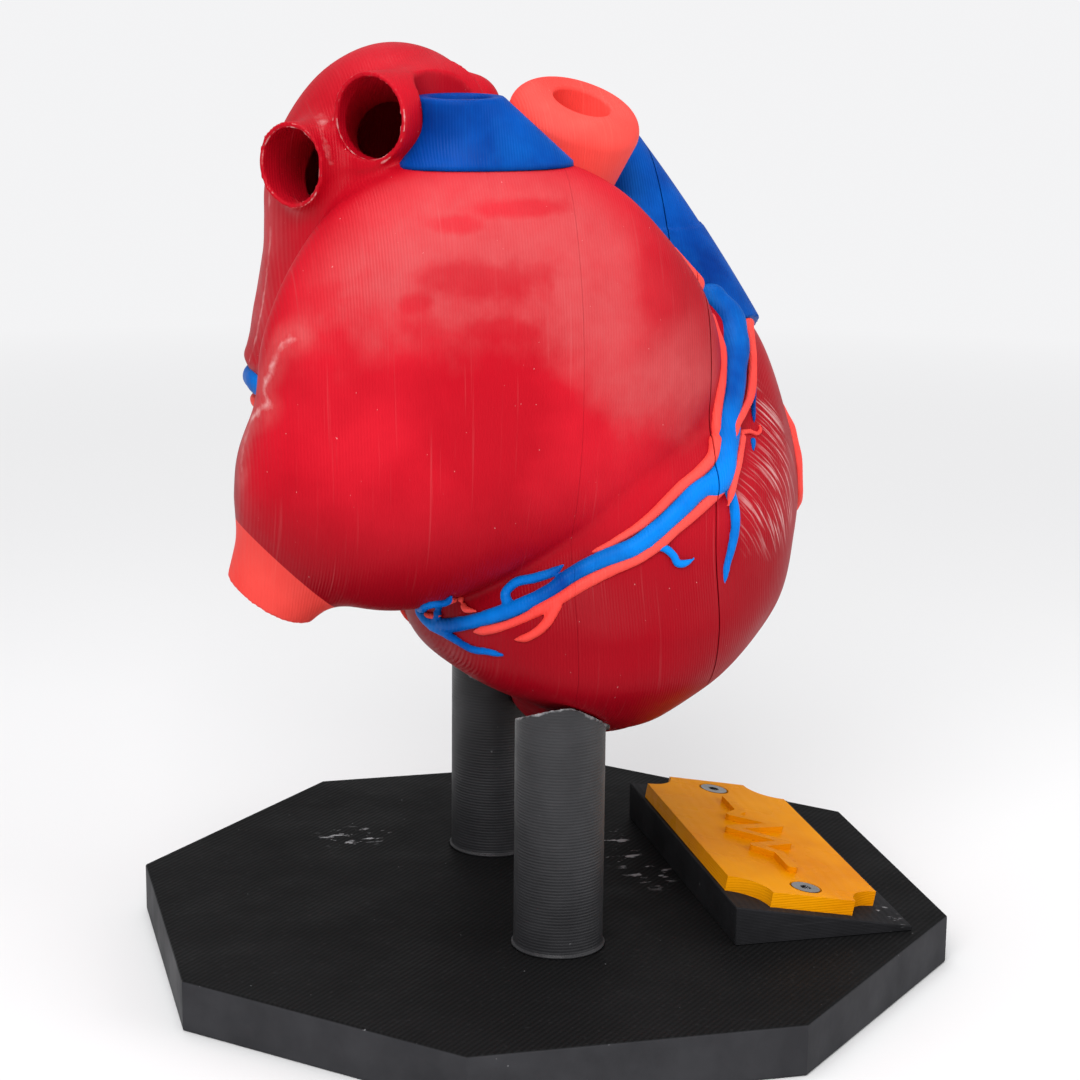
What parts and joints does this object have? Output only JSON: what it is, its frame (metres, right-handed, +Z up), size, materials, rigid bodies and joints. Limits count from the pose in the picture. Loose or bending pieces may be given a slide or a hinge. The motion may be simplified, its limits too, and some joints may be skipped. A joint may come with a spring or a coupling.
{
  "type": "heart anatomy model",
  "caption": "Life-size teaching heart in slabs that part at two upright seams, lifted off scooped posts on an octagonal stand with a sloping nameplate.",
  "frame": {"origin": "middle of the base plate's underside", "axes": "+Z up; -Y towards the nameplate (the heart's front); -X towards the heart's own right side, the side most seen"},
  "size_m": [0.15, 0.15, 0.1772],
  "materials": {
    "muscle_red": "3-D printed dark red plastic, satin gloss with fine vertical layer lines",
    "artery_red": "3-D printed light coral red plastic, fine layer lines",
    "vein_blue": "3-D printed deep blue plastic, satin, fine layer lines",
    "stand_black": "3-D printed black plastic with fine top lines and white scuffs",
    "plate_yellow": "3-D printed glossy yellow-orange plastic",
    "screw_steel": "bright button-head machine screw",
    "magnet_steel": "nickel-plated disc magnet",
    "pin_steel": "steel dowel pin"
  },
  "bodies": {
    "stand": {"base_plate": "stand_black", "right_post": "stand_black", "left_post": "stand_black", "post_screws": "screw_steel", "nameplate_wedge": "stand_black", "nameplate": "plate_yellow", "nameplate_screws": "screw_steel"},
    "heart_middle": {"middle_shell": "muscle_red", "aorta": "artery_red", "pulmonary_trunk_rear": "vein_blue", "right_coronary_artery_middle": "artery_red", "cardiac_vein_middle": "vein_blue", "middle_front_magnets": "magnet_steel", "middle_rear_magnets": "magnet_steel", "front_pins": "pin_steel", "rear_pins": "pin_steel"},
    "heart_front": {"front_shell": "muscle_red", "pulmonary_trunk_front": "vein_blue", "right_coronary_artery_front": "artery_red", "cardiac_vein_front": "vein_blue", "anterior_artery": "artery_red", "anterior_vein": "vein_blue", "front_magnets": "magnet_steel"},
    "heart_rear": {"rear_shell": "muscle_red", "superior_vena_cava": "vein_blue", "inferior_vena_cava": "artery_red", "coronary_sinus": "vein_blue", "posterior_artery": "artery_red", "right_coronary_artery_rear": "artery_red", "cardiac_vein_rear": "vein_blue", "rear_magnets": "magnet_steel"}
  },
  "joints": [
    {"name": "heart_lift", "type": "slide", "parent": "stand", "child": "heart_middle", "axis": [0, 0, 1], "range_m": [0, 0.025]},
    {"name": "front_pull", "type": "slide", "parent": "heart_middle", "child": "heart_front", "axis": [0, -1, 0], "range_m": [0, 0.04]},
    {"name": "rear_pull", "type": "slide", "parent": "heart_middle", "child": "heart_rear", "axis": [0, 1, 0], "range_m": [0, 0.04]}
  ]
}
